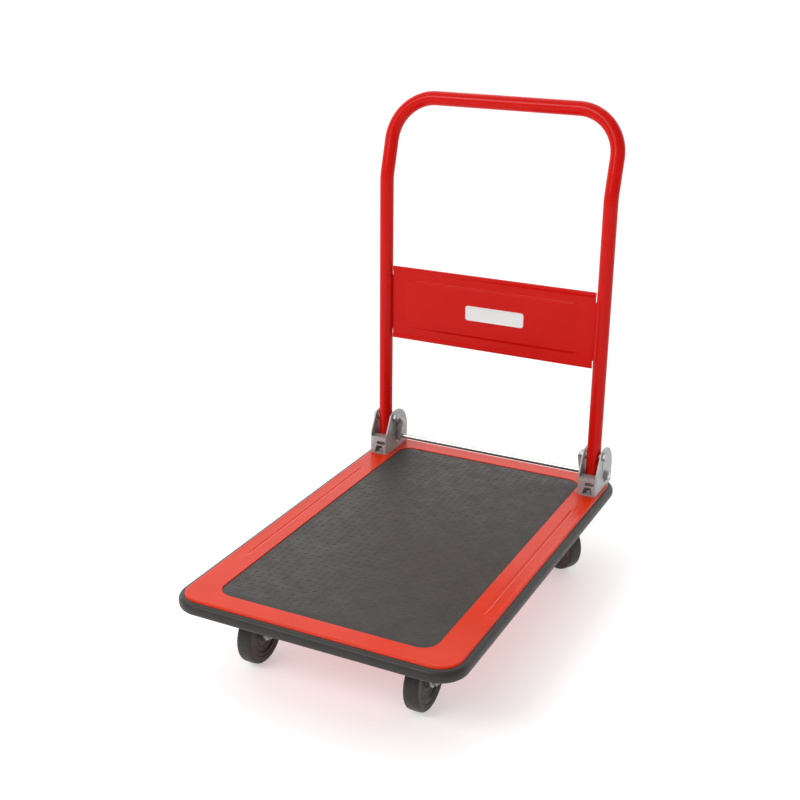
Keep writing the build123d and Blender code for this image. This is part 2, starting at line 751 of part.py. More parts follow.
def keep_wheel(name, frame, trail):
    """Tyre, core, bush, bolt and nut of one castor."""
    keep(f"{name}_tyre", wheel_tyre(frame, trail))
    keep(f"{name}_wheel_core", wheel_core(frame, trail))
    keep(f"{name}_axle_bush", axle_bush(frame, trail))
    keep(f"{name}_axle_bolt", axle_bolt(frame, trail))
    keep(f"{name}_axle_nut", axle_nut(frame, trail))


for side, sign in (("left", -1), ("right", 1)):
    # Fixed castor at the open end, rolling along Y.
    front_frame = castor_frame(sign * castor_x, -castor_y, 90)
    with BuildPart() as fixed_fork:
        extrude(castor_plate_outline((sign * castor_x, -castor_y)), amount=castor_sheet)
        for leg_side in (-1, 1):
            leg_face = leg_plane(front_frame, leg_side * fork_inside / 2)
            extrude(leg_outline(leg_face, 0, castor_underside + castor_sheet / 2, fork_fixed_length, 0),
                    amount=-leg_side * fork_sheet)
    keep(f"front_{side}_fork", fixed_fork.part)
    keep_wheel(f"front_{side}", front_frame, 0)

    # Swivel castor at the handle end.
    plate_place = (sign * castor_x, castor_y)
    rear_frame = castor_frame(sign * castor_x, castor_y, swivel_heading)
    race_height = (swivel_drop - 2 * ball_radius - running_clearance) / 2
    with BuildPart() as swivel_plate:
        extrude(castor_plate_outline(plate_place), amount=castor_sheet)
        with BuildSketch(rear_frame.offset(castor_underside)):
            Circle(swivel_head_radius)
            Circle(race_bore, mode=Mode.SUBTRACT)
        extrude(amount=-race_height)
        with BuildSketch(rear_frame.offset(mount_underside)):
            Circle(kingpin_radius)
        extrude(amount=-castor_sheet, mode=Mode.SUBTRACT)
    keep(f"rear_{side}_swivel_plate", swivel_plate.part)

    with BuildPart() as swivel_fork:
        with BuildSketch(rear_frame.offset(crown_bottom)):
            with Locations((fork_head_shift, 0)):
                Rectangle(fork_head_length, fork_outside)
            Circle(swivel_head_radius)
            Circle(kingpin_radius + running_clearance, mode=Mode.SUBTRACT)
        extrude(amount=fork_sheet)
        for leg_side in (-1, 1):
            leg_face = leg_plane(rear_frame, leg_side * fork_inside / 2)
            extrude(leg_outline(leg_face, swivel_trail, crown_top, fork_head_length, fork_head_shift),
                    amount=-leg_side * fork_sheet)
        # Lower ball race, standing on the crown.
        with BuildSketch(rear_frame.offset(crown_top)):
            Circle(swivel_head_radius)
            Circle(race_bore, mode=Mode.SUBTRACT)
        extrude(amount=race_height)
    keep(f"rear_{side}_fork", swivel_fork.part)

    with BuildPart(rear_frame.offset(crown_top + race_height + ball_radius)) as swivel_balls:
        with PolarLocations(ball_ring, ball_count):
            Sphere(ball_radius)
    keep(f"rear_{side}_swivel_balls", swivel_balls.part)

    with BuildPart() as kingpin:
        with BuildSketch(rear_frame.offset(crown_bottom - free_clearance)):
            Circle(kingpin_head_radius)
        extrude(amount=-kingpin_head)
        with BuildSketch(rear_frame.offset(crown_bottom - free_clearance)):
            Circle(kingpin_radius)
        extrude(amount=mount_underside - crown_bottom + free_clearance)
    keep(f"rear_{side}_kingpin", kingpin.part)
    keep_wheel(f"rear_{side}", rear_frame, swivel_trail)

stud_places = [
    (side * castor_x + across * castor_holes_short / 2, end * castor_y + along * castor_holes_long / 2)
    for side in (-1, 1) for end in (-1, 1) for across in (-1, 1) for along in (-1, 1)
]
with BuildPart() as castor_studs:
    with BuildSketch(Plane.XY.offset(mount_underside)):
        with Locations(stud_places):
            Circle(bolt_radius)
    extrude(amount=-stud_length)
keep("castor_studs", castor_studs.part)

with BuildPart() as castor_nuts:
    with BuildSketch(Plane.XY.offset(castor_underside)):
        with Locations(stud_places):
            RegularPolygon(bolt_head_flats / 2, 6, major_radius=False)
            Circle(bolt_radius, mode=Mode.SUBTRACT)
    extrude(amount=-nut_height)
keep("castor_nuts", castor_nuts.part)

# ---------------------------------------------------------------- files

os.makedirs("parts", exist_ok=True)
for name, part in pieces.items():
    part.label = name
    export_step(part, f"parts/{name}.step")
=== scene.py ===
"""Looks of the folding platform cart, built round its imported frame.

Every length is in metres and every place is in the frame's own axes: the floor is z = 0, +Y points to the
handle end and +X to the right. Sizes come from the boxes of the frame's nodes wherever a piece has to fit one.
"""

import json
import logging
import math
from dataclasses import dataclass, field
from enum import Enum

import bmesh
import bpy
import numpy as np
from mathutils import Matrix, Vector

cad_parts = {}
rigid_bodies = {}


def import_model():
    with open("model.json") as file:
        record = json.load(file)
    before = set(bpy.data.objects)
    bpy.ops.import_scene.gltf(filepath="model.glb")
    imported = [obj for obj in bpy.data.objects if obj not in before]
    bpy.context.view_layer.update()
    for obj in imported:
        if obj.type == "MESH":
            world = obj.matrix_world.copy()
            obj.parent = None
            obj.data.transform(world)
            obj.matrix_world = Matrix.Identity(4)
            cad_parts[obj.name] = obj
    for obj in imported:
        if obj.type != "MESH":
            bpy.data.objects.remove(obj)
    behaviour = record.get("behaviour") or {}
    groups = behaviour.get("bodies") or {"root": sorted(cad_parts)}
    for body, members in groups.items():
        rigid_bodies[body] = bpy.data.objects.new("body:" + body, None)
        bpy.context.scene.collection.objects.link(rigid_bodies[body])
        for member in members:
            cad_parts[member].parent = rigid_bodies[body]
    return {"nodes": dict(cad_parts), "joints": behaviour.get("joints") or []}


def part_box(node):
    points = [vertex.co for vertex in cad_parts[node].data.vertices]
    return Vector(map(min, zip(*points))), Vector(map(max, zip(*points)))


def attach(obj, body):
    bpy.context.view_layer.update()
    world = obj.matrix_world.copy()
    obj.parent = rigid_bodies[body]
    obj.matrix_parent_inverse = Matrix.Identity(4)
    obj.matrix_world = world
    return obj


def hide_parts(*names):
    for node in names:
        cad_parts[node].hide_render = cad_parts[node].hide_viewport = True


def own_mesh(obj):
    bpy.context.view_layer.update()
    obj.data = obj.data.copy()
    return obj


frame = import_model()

MM = 0.001
BEVEL_ABOVE = 30.0  # degrees: sharper edges of a frame node are rounded
SMOOTH_BELOW = 32.0  # degrees: blunter ones are shaded smooth
FLAT_BELOW = 0.6  # degrees: its triangles are merged into one face
LOG = logging.getLogger("platform_cart")
Colour = tuple[float, float, float]
Socket = bpy.types.NodeSocket


class Slot(Enum):
    """Material slots: the record's name, and what tells two finishes of one slot apart."""

    RED = ("red_powder_coat", "")
    DECK_RED = ("red_powder_coat", "_deck")
    MAT = ("grey_rubber_mat", "")
    BUMPER = ("black_rubber_bumper", "")
    ZINC = ("zinc_plate", "")
    ROD = ("zinc_plate", "_drawn")
    FASTENER = ("bright_zinc_fasteners", "")
    BALL = ("ball_steel", "")
    SPRING = ("spring_steel", "")
    BADGE = ("blank_badge", "")
    TYRE = ("black_tyre", "")
    PLASTIC = ("black_plastic", "")


class Side(Enum):
    """Left or right of the cart, with the sign of X."""

    LEFT = -1
    RIGHT = 1

    @property
    def word(self) -> str:
        """The side's name as the nodes spell it."""
        return self.name.lower()


# ---------------------------------------------------------------- node graphs


class Graph:
    """A material's node tree, with short ways to add nodes and links."""

    def __init__(self, name: str) -> None:
        """Starts a material with a Principled shader.

        Args:
            name: the material's name.
        """
        self.material = bpy.data.materials.new(name)
        self.material.use_nodes = True
        self.tree = self.material.node_tree
        self.shader = self.tree.nodes["Principled BSDF"]
        self.coordinates = self.tree.nodes.new("ShaderNodeTexCoord").outputs["Object"]

    def set(self, **values: object) -> None:
        """Sets the shader's own sockets; underscores in a name stand for spaces."""
        for key, value in values.items():
            self.shader.inputs[key.replace("_", " ")].default_value = value

    def link(self, output: Socket, target: str) -> None:
        """Links an output to one of the shader's sockets."""
        self.tree.links.new(output, self.shader.inputs[target])

    def node(self, kind: str, **inputs: object) -> bpy.types.Node:
        """Adds a node; an input given a socket is linked, another is set. Underscores stand for spaces."""
        node = self.tree.nodes.new(f"ShaderNode{kind}")
        for key, value in inputs.items():
            entry = node.inputs[key.replace("_", " ")]
            if isinstance(value, Socket):
                self.tree.links.new(value, entry)
            else:
                entry.default_value = value
        return node

    def stretched(self, scale: tuple[float, float, float]) -> Socket:
        """Object coordinates multiplied by a scale for each axis."""
        return self.node("Mapping", Scale=scale, Vector=self.coordinates).outputs["Vector"]

    def noise(self, scale: float, detail: float = 2.0, roughness: float = 0.5,
              vector: Socket | None = None) -> Socket:
        """Noise on Object coordinates, or on another vector.

        Args:
            scale: waves per metre.
            detail: octaves.
            roughness: weight of the finer octaves.
            vector: coordinates to read instead of Object.

        Returns:
            The noise's value, from 0 to 1 and mostly near 0.5.
        """
        return self.node("TexNoise", Scale=scale, Detail=detail, Roughness=roughness,
                         Vector=vector or self.coordinates).outputs["Fac"]

    def cells(self, scale: float) -> Socket:
        """A grey value for each cell of a Voronoi pattern, as on spangled zinc."""
        pattern = self.node("TexVoronoi", Scale=scale, Vector=self.coordinates)
        return self.node("RGBToBW", Color=pattern.outputs["Color"]).outputs["Val"]

    def ranged(self, value: Socket, low: float, high: float,
               start: float = 0.3, end: float = 0.7) -> Socket:
        """Maps a value from start..end to low..high, held at both ends."""
        return self.node("MapRange", Value=value, From_Min=start, From_Max=end, To_Min=low,
                         To_Max=high).outputs["Result"]

    def blend(self, value: Socket, first: tuple[float, float, float],
              second: tuple[float, float, float]) -> Socket:
        """A colour between two, by a value from 0 to 1."""
        node = self.tree.nodes.new("ShaderNodeMix")
        node.data_type = "RGBA"
        node.inputs["A"].default_value = (*first, 1.0)
        node.inputs["B"].default_value = (*second, 1.0)
        self.tree.links.new(value, node.inputs["Factor"])
        return node.outputs["Result"]

    def bump(self, heights: list[tuple[Socket, float]]) -> None:
        """Stacks bumps on the shader's normal; each is a height from 0 to 1 and its depth in metres."""
        normal = None
        for height, depth in heights:
            under = {"Normal": normal} if normal else {}
            normal = self.node("Bump", Strength=1.0, Distance=depth, Height=height, **under).outputs["Normal"]
        self.link(normal, "Normal")

    def coat(self, drift: Socket, first: Colour, second: Colour, grain: Socket,
             gloss: tuple[float, float]) -> None:
        """Lays a colour between two by the drift, and a roughness in a range by the grain."""
        self.link(self.blend(drift, first, second), "Base Color")
        self.link(self.ranged(grain, *gloss), "Roughness")


def shade(colour: Colour, factor: float) -> Colour:
    """A colour made lighter or darker by a factor."""
    return tuple(min(1.0, channel * factor) for channel in colour)


@dataclass(frozen=True)
class PowderCoat:
    """Glossy stoved powder coat with a faint orange peel."""

    colour: Colour = (0.60, 0.006, 0.003)
    deep: float = 0.92
    gloss: tuple[float, float] = (0.19, 0.26)
    peel_scale: float = 520.0
    peel_depth: float = 0.000012
    specular: float = 0.12

    def build(self, name: str) -> bpy.types.Material:
        """Mottled red, uneven gloss and peel."""
        graph = Graph(name)
        drift = graph.ranged(graph.noise(14.0, 3.0), 0.0, 1.0)
        graph.coat(drift, shade(self.colour, self.deep), self.colour, graph.noise(60.0, 4.0), self.gloss)
        graph.set(Specular_IOR_Level=self.specular)
        graph.bump([(graph.noise(self.peel_scale, 1.0), self.peel_depth)])
        return graph.material


@dataclass(frozen=True)
class Rubber:
    """Rubber with a fine grain and a little dust."""

    colour: Colour
    roughness: tuple[float, float]
    grain_scale: float
    grain_depth: float
    dust: float = 1.25
    specular: float = 0.35

    def build(self, name: str) -> bpy.types.Material:
        """Slightly cloudy rubber."""
        graph = Graph(name)
        cloud = graph.ranged(graph.noise(22.0, 5.0, 0.62), 0.0, 1.0)
        graph.coat(cloud, self.colour, shade(self.colour, self.dust), graph.noise(45.0, 4.0), self.roughness)
        graph.set(Specular_IOR_Level=self.specular)
        graph.bump([(graph.noise(self.grain_scale, 2.0, 0.7), self.grain_depth)])
        return graph.material


@dataclass(frozen=True)
class ZincPlate:
    """Zinc-plated or drawn steel: soft spangle, handling marks and a grain one way."""

    metallic: float = field(default=1.0, kw_only=True)

    colour: Colour
    dull: float
    roughness: tuple[float, float]
    spangle_scale: float
    grain: tuple[float, float, float]
    grain_depth: float

    def build(self, name: str) -> bpy.types.Material:
        """Metal whose brightness and gloss change from patch to patch."""
        graph = Graph(name)
        spangle = graph.ranged(graph.cells(self.spangle_scale), 0.0, 1.0, 0.2, 0.8)
        graph.coat(spangle, shade(self.colour, self.dull), self.colour, graph.noise(90.0, 4.0, 0.6), self.roughness)
        graph.set(Metallic=self.metallic)
        drawn = graph.noise(1.0, 3.0, 0.6, graph.stretched(self.grain))
        graph.bump([(drawn, self.grain_depth), (graph.noise(260.0, 3.0), self.grain_depth * 1.5)])
        return graph.material


@dataclass(frozen=True)
class MouldedPlastic:
    """Moulded plastic with a fine sparked texture."""

    colour: Colour = (0.014, 0.014, 0.013)
    roughness: tuple[float, float] = (0.42, 0.55)

    def build(self, name: str) -> bpy.types.Material:
        """Dark plastic with a soft sheen."""
        graph = Graph(name)
        cloud = graph.ranged(graph.noise(40.0, 3.0), 0.0, 1.0)
        graph.coat(cloud, self.colour, shade(self.colour, 1.5), graph.noise(120.0, 3.0), self.roughness)
        graph.bump([(graph.noise(1500.0, 2.0, 0.7), 0.00002)])
        return graph.material


@dataclass(frozen=True)
class BadgeSatin:
    """Blank plate, white enamel brushed along its length."""

    colour: Colour = (0.82, 0.81, 0.80)

    def build(self, name: str) -> bpy.types.Material:
        """Off-white with fine lines along X."""
        graph = Graph(name)
        lines = graph.noise(1.0, 2.0, 0.5, graph.stretched((30.0, 2200.0, 2200.0)))
        graph.coat(graph.ranged(lines, 0.0, 1.0), shade(self.colour, 0.90), self.colour, graph.noise(150.0, 2.0),
                   (0.30, 0.42))
        graph.set(Metallic=0.0, Coat_Weight=0.2, Coat_Roughness=0.2)
        graph.bump([(lines, 0.000012)])
        return graph.material


FINISHES: dict[Slot, object] = {
    Slot.RED: PowderCoat(),
    Slot.DECK_RED: PowderCoat(colour=(0.66, 0.030, 0.004), specular=0.15),
    Slot.MAT: Rubber((0.036, 0.032, 0.028), (0.50, 0.64), 900.0, 0.00006, 1.25, 0.30),
    Slot.BUMPER: Rubber((0.028, 0.025, 0.023), (0.40, 0.50), 1300.0, 0.00002, 1.20, 0.28),
    Slot.ZINC: ZincPlate((0.46, 0.46, 0.448), 0.82, (0.46, 0.60), 240.0, (500.0, 60.0, 60.0), 0.00001, metallic=0.45),
    Slot.ROD: ZincPlate((0.70, 0.70, 0.69), 0.88, (0.26, 0.38), 260.0, (40.0, 500.0, 500.0), 0.000006),
    Slot.FASTENER: ZincPlate((0.42, 0.42, 0.41), 0.84, (0.38, 0.50), 420.0, (300.0, 300.0, 300.0), 0.000006,
                             metallic=0.7),
    Slot.BALL: ZincPlate((0.78, 0.78, 0.78), 0.95, (0.08, 0.14), 300.0, (200.0, 200.0, 200.0), 0.000001),
    Slot.SPRING: ZincPlate((0.45, 0.45, 0.45), 0.80, (0.25, 0.40), 500.0, (400.0, 400.0, 400.0), 0.000004),
    Slot.BADGE: BadgeSatin(),
    Slot.TYRE: Rubber((0.020, 0.019, 0.017), (0.40, 0.54), 1100.0, 0.00002, 1.4, 0.40),
    Slot.PLASTIC: MouldedPlastic(),
}


class Paintbox:
    """Makes each slot's material once and hands it out."""

    def __init__(self) -> None:
        """Starts with no material made."""
        self.made: dict[Slot, bpy.types.Material] = {}

    def material(self, slot: Slot) -> bpy.types.Material:
        """The material of a slot, made at its first use."""
        if slot not in self.made:
            self.made[slot] = FINISHES[slot].build("".join(slot.value))
        return self.made[slot]

    def dress(self, obj: bpy.types.Object, slot: Slot) -> None:
        """Gives an object one slot's material."""
        obj.data.materials.clear()
        obj.data.materials.append(self.material(slot))


PAINT = Paintbox()

# ---------------------------------------------------------------- surfaces


def smooth(t: np.ndarray) -> np.ndarray:
    """The cubic 3t^2 - 2t^3 of t held between 0 and 1."""
    held = np.clip(t, 0.0, 1.0)
    return held * held * (3.0 - 2.0 * held)


def plateau(value: np.ndarray, low: float, high: float, ease: float) -> np.ndarray:
    """1 between low and high, 0 outside, easing over the given width inside each end."""
    return smooth((value - low) / ease) * smooth((high - value) / ease)


def arc(count: int, start: float, end: float) -> tuple[np.ndarray, np.ndarray]:
    """Cosines and sines of evenly spaced angles, in degrees."""
    angles = np.radians(np.linspace(start, end, count))
    return np.cos(angles), np.sin(angles)


def stacked(x: np.ndarray, y: np.ndarray, z: np.ndarray) -> np.ndarray:
    """Points from their three coordinates, stretched to one shape."""
    return np.stack(np.broadcast_arrays(x, y, z), axis=-1)


class Shell:
    """Vertices and faces of one piece, gathered from grids and caps."""

    def __init__(self) -> None:
        """Starts empty."""
        self.blocks: list[np.ndarray] = []
        self.faces: list[list[int]] = []
        self.count = 0

    def grid(self, points: np.ndarray, round_rows: bool = False, round_columns: bool = False) -> np.ndarray:
        """Adds a grid of quads: point (i, j) joins (i+1, j), (i+1, j+1) and (i, j+1).

        Args:
            points: array of rows x columns x 3.
            round_rows: also join the last row to the first.
            round_columns: also join the last column to the first.

        Returns:
            The indices of the points, rows x columns.
        """
        rows, columns = points.shape[:2]
        index = self.count + np.arange(rows * columns).reshape(rows, columns)
        down = np.arange(rows if round_rows else rows - 1)
        across = np.arange(columns if round_columns else columns - 1)
        i, j = np.meshgrid(down, across, indexing="ij")
        below, beside = (i + 1) % rows, (j + 1) % columns
        quads = np.stack([index[i, j], index[below, j], index[below, beside], index[i, beside]], axis=-1)
        self.blocks.append(points.reshape(-1, 3))
        self.faces += quads.reshape(-1, 4).tolist()
        self.count += rows * columns
        return index

    def cap(self, ring: np.ndarray) -> None:
        """Adds one flat face on a ring of indices."""
        self.faces.append([int(i) for i in ring])

    def tube(self, points: np.ndarray) -> None:
        """Adds rings of points joined in a row, closed round each ring and capped at both ends."""
        index = self.grid(points, round_columns=True)
        self.cap(index[0])
        self.cap(index[-1][::-1])

    def many(self, centres: np.ndarray, turns: np.ndarray, points: np.ndarray, faces: list[list[int]]) -> None:
        """Adds copies of a small closed shape, each turned about Z and moved.

        Args:
            centres: n x 3 places.
            turns: n angles in radians.
            points: m x 3 points of the shape.
            faces: the shape's faces.
        """
        c, s = np.cos(turns)[:, None], np.sin(turns)[:, None]
        x = points[None, :, 0] * c - points[None, :, 1] * s
        y = points[None, :, 0] * s + points[None, :, 1] * c
        placed = stacked(x, y, points[None, :, 2]) + centres[:, None, :]
        starts = self.count + np.arange(len(centres)) * len(points)
        for face in faces:
            self.faces += (starts[:, None] + np.array(face)[None, :]).tolist()
        self.blocks.append(placed.reshape(-1, 3))
        self.count += placed.shape[0] * placed.shape[1]

    def piece(self, name: str, body: str, slot: Slot, nodes: tuple[str, ...],
              sharp: float) -> bpy.types.Object:
        """Makes the object: doubles merged, faces turned out, smooth but for sharp edges.

        Args:
            name: the piece's name.
            body: the body it rides on.
            slot: its finish.
            nodes: the frame's nodes that it stands for.
            sharp: edges above this angle in degrees stay sharp.

        Returns:
            The finished object.
        """
        mesh = bpy.data.meshes.new(name)
        mesh.from_pydata(np.concatenate(self.blocks).tolist(), [], self.faces)
        work = bmesh.new()
        work.from_mesh(mesh)
        bmesh.ops.remove_doubles(work, verts=work.verts, dist=1e-7)
        bmesh.ops.dissolve_degenerate(work, edges=work.edges, dist=1e-8)
        bmesh.ops.recalc_face_normals(work, faces=work.faces)
        work.to_mesh(mesh)
        work.free()
        return finish_piece(bpy.data.objects.new(name, mesh), body, slot, nodes, sharp)


def finish_piece(obj: bpy.types.Object, body: str, slot: Slot, nodes: tuple[str, ...],
                 sharp: float) -> bpy.types.Object:
    """Links, shades, dresses and seats an object.

    Args:
        obj: the object, with its place in its mesh.
        body: the body it rides on.
        slot: its finish.
        nodes: the frame's nodes that it stands for.
        sharp: edges above this angle in degrees stay sharp.

    Returns:
        The same object.
    """
    bpy.context.scene.collection.objects.link(obj)
    mesh = obj.data
    mesh.polygons.foreach_set("use_smooth", np.ones(len(mesh.polygons), bool))
    mesh.set_sharp_from_angle(angle=math.radians(sharp))
    mesh.update()
    PAINT.dress(obj, slot)
    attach(obj, body)
    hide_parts(*nodes)
    LOG.info("%s: %d faces on %s", obj.name, len(mesh.polygons), body)
    return obj


def softened(node: str, slot: Slot, body: str, edge: float, segments: int = 2) -> bpy.types.Object:
    """A copy of a frame node with its edges rounded, which stands for the node.

    Args:
        node: the frame's node.
        slot: its finish.
        body: the body it rides on.
        edge: width of the rounding.
        segments: faces across the rounding.

    Returns:
        The new piece.
    """
    mesh = frame["nodes"][node].data.copy()
    work = bmesh.new()
    work.from_mesh(mesh)
    bmesh.ops.remove_doubles(work, verts=work.verts, dist=2e-6)
    bmesh.ops.dissolve_limit(work, angle_limit=math.radians(FLAT_BELOW), verts=work.verts, edges=work.edges)
    work.to_mesh(mesh)
    work.free()
    obj = finish_piece(bpy.data.objects.new(f"{node}_finished", mesh), body, slot, (node,), SMOOTH_BELOW)
    bevel = obj.modifiers.new("edge_rounding", "BEVEL")
    bevel.width = edge
    bevel.segments = segments
    bevel.limit_method = "ANGLE"
    bevel.angle_limit = math.radians(BEVEL_ABOVE)
    bevel.use_clamp_overlap = True
    bevel.harden_normals = True
    return obj


def box_size(node: str) -> tuple[Vector, Vector, Vector]:
    """Lowest corner, highest corner and size of a frame node."""
    low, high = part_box(node)
    return low, high, high - low


@dataclass(frozen=True)
class RingWalk:
    """Stations round a rounded rectangle: even steps along its sides and round its corners."""

    side_steps: int
    end_steps: int
    corner_steps: int

    def stations(self) -> tuple[np.ndarray, np.ndarray, np.ndarray, np.ndarray]:
        """Weights of each station.

        Returns:
            Shares of the corner centre's X and Y, and the cosine and sine of the corner's angle.
        """
        shares_x, shares_y, angles = [], [], []
        for corner, (sx, sy) in enumerate(((1, -1), (1, 1), (-1, 1), (-1, -1))):
            turn = np.linspace(-90.0, 0.0, self.corner_steps, endpoint=False) + 90.0 * corner
            shares_x.append(np.full(self.corner_steps, float(sx)))
            shares_y.append(np.full(self.corner_steps, float(sy)))
            angles.append(turn)
            along_side = corner % 2 == 0
            steps = self.side_steps if along_side else self.end_steps
            run = np.linspace(1.0, -1.0, steps, endpoint=False)
            shares_x.append(np.full(steps, float(sx)) if along_side else sx * run)
            shares_y.append(sy * run if along_side else np.full(steps, float(sy)))
            angles.append(np.full(steps, 90.0 * corner))
        turned = np.radians(np.concatenate(angles))
        return np.concatenate(shares_x), np.concatenate(shares_y), np.cos(turned), np.sin(turned)

    def rings(self, half_x: np.ndarray, half_y: np.ndarray, radius: np.ndarray, z: np.ndarray) -> np.ndarray:
        """Rounded rectangles, one for each row: corner centre times its share, plus the corner's radius.

        Args:
            half_x: half widths.
            half_y: half lengths.
            radius: corner radii.
            z: heights.

        Returns:
            Array of rows x stations x 3.
        """
        share_x, share_y, cosine, sine = self.stations()
        hx, hy, r, height = (np.asarray(v, float)[:, None] for v in (half_x, half_y, radius, z))
        x = share_x * (hx - r) + r * cosine
        y = share_y * (hy - r) + r * sine
        return stacked(x, y, height)


# ---------------------------------------------------------------- deck


@dataclass
class Deck:
    """Pressed tray, mat and bumper, and what is welded and bolted under them."""

    sheet: float = 1.5 * MM
    corner: float = 36.0 * MM
    edge_round: float = 3.0 * MM
    recess_corner: float = 26.5 * MM
    recess_round: float = 0.9 * MM
    mat_gap: float = 0.5 * MM
    groove_inset: float = 23.5 * MM
    groove_half_length: float = 203.0 * MM
    groove_half_width: float = 1.9 * MM
    groove_depth: float = 1.3 * MM
    shoulder_drop: float = 0.55 * MM
    shoulder_ease: float = 60.0 * MM
    bumper_lip: float = 5.0 * MM
    bead: float = 0.5 * MM
    tread_pitch: float = 12.5 * MM
    tread_length: float = 8.6 * MM
    tread_width: float = 2.8 * MM
    tread_rise: float = 0.38 * MM
    tread_margin: float = 6.5 * MM
    walk: RingWalk = field(default_factory=lambda: RingWalk(130, 40, 14))

    def pressed(self, points: np.ndarray, half_width: float) -> np.ndarray:
        """Presses the groove and the eased shoulder outside it into the border.

        Height falls by depth x exp(-(distance / half width)^2) along the groove, and by the shoulder's drop
        outside it, both fading out towards the groove's ends.

        Args:
            points: rings of the border.
            half_width: half the tray's width.

        Returns:
            The same rings, lowered.
        """
        across = half_width - np.abs(points[..., 0]) - self.groove_inset
        along = np.abs(points[..., 1])
        line = smooth((self.groove_half_length - along) / (14.0 * MM))
        groove = self.groove_depth * np.exp(-((across / self.groove_half_width) ** 2)) * line
        reach = smooth((self.groove_half_length + 0.6 * self.shoulder_ease - along) / self.shoulder_ease)
        outside = smooth(-across / (5.0 * MM)) * smooth((self.groove_inset + across) / (9.0 * MM))
        points[..., 2] -= groove + self.shoulder_drop * outside * reach
        return points

    def tray(self) -> None:
        """The pan: rim, rounded edge, pressed border, step and recess floor over the same shapes underneath."""
        low, high, size = box_size("deck_tray")
        mat_low, mat_high, _ = box_size("anti_slip_mat")
        outer = np.array([size.x / 2, size.y / 2, self.corner])
        recess = np.array([mat_high.x + self.mat_gap, mat_high.y + self.mat_gap, self.recess_corner])
        top, floor, rim = high.z, mat_low.z, low.z
        cosine, sine = arc(7, 0.0, 90.0)
        rows: list[tuple[float, float, float, float]] = []

        def ring(share: float, inset: float, z: float) -> None:
            """One ring between the outer outline and the recess, moved in by an inset."""
            half_x, half_y, radius = outer + (recess - outer) * share
            rows.append((half_x - inset, half_y - inset, max(radius - inset, 1.0 * MM), z))

        ring(0.0, self.sheet, rim)
        ring(0.0, 0.0, rim)
        for c, s in zip(cosine, sine):
            ring(0.0, self.edge_round * (1.0 - c), top - self.edge_round * (1.0 - s))
        span = outer[0] - recess[0]
        groove = self.groove_inset / span
        start = self.edge_round / span
        near = np.linspace(groove - 5.0 * MM / span, groove + 5.0 * MM / span, 25)
        shares = np.concatenate([np.linspace(start, near[0], 10)[1:-1], near,
                                 np.linspace(near[-1], 1.0 - 1.2 * MM / span, 6)[1:]])
        for share in shares:
            ring(share, 0.0, top)
        for c, s in zip(*arc(5, 90.0, 0.0)):
            ring(1.0, -self.recess_round * (1.0 - c), top - self.recess_round * (1.0 - s))
        for c, s in zip(*arc(5, 0.0, 90.0)):
            ring(1.0, self.recess_round * (1.0 - c), floor + self.recess_round * (1.0 - s))
        upper = self.pressed(self.walk.rings(*np.array(rows).T), size.x / 2)

        rows.clear()
        ring(0.0, self.sheet, rim)
        ring(0.0, self.sheet, top - self.edge_round)
        for c, s in zip(cosine, sine):
            ring(0.0, self.sheet + (self.edge_round - self.sheet) * (1.0 - c),
                 top - self.sheet - (self.edge_round - self.sheet) * (1.0 - s))
        for share in shares:
            ring(share, 0.0, top - self.sheet)
        ring(1.0, -self.sheet, top - self.sheet)
        ring(1.0, -self.sheet, floor - self.sheet)
        lower = self.pressed(self.walk.rings(*np.array(rows).T), size.x / 2)

        shell = Shell()
        above = shell.grid(upper, round_columns=True)
        below = shell.grid(lower, round_columns=True)
        shell.cap(above[-1])
        shell.cap(below[-1][::-1])
        shell.piece("deck_tray_pressed", "deck", Slot.DECK_RED, ("deck_tray",), sharp=50.0)

    def mat(self) -> None:
        """The mat: a thin slab with a rounded top edge, covered with small lozenges turned one way and the other."""
        low, high, size = box_size("anti_slip_mat")
        corner = self.recess_corner - self.mat_gap
        edge = 0.5 * MM
        c, s = arc(4, 0.0, 90.0)
        inset = np.concatenate([[0.0], edge * (1.0 - c)])
        z = np.concatenate([[low.z], high.z - edge * (1.0 - s)])
        rings = self.walk.rings(size.x / 2 - inset, size.y / 2 - inset, corner - inset, z)
        shell = Shell()
        shell.tube(rings)

        nx = int((size.x / 2 - self.tread_margin) / self.tread_pitch)
        ny = int((size.y / 2 - self.tread_margin) / self.tread_pitch)
        i, j = np.meshgrid(np.arange(-nx, nx + 1), np.arange(-ny, ny + 1), indexing="ij")
        x, y = i.ravel() * self.tread_pitch, j.ravel() * self.tread_pitch
        reach = corner - self.tread_margin
        past_x = np.maximum(np.abs(x) - (size.x / 2 - corner), 0.0)
        past_y = np.maximum(np.abs(y) - (size.y / 2 - corner), 0.0)
        inside = np.hypot(past_x, past_y) <= reach
        x, y, odd = x[inside], y[inside], ((i + j).ravel()[inside] % 2)
        points, faces = self.lozenge()
        shell.many(stacked(x, y, high.z), np.radians(45.0 + 90.0 * odd), points, faces)
        shell.piece("anti_slip_mat_tread", "deck", Slot.MAT, ("anti_slip_mat",), sharp=50.0)

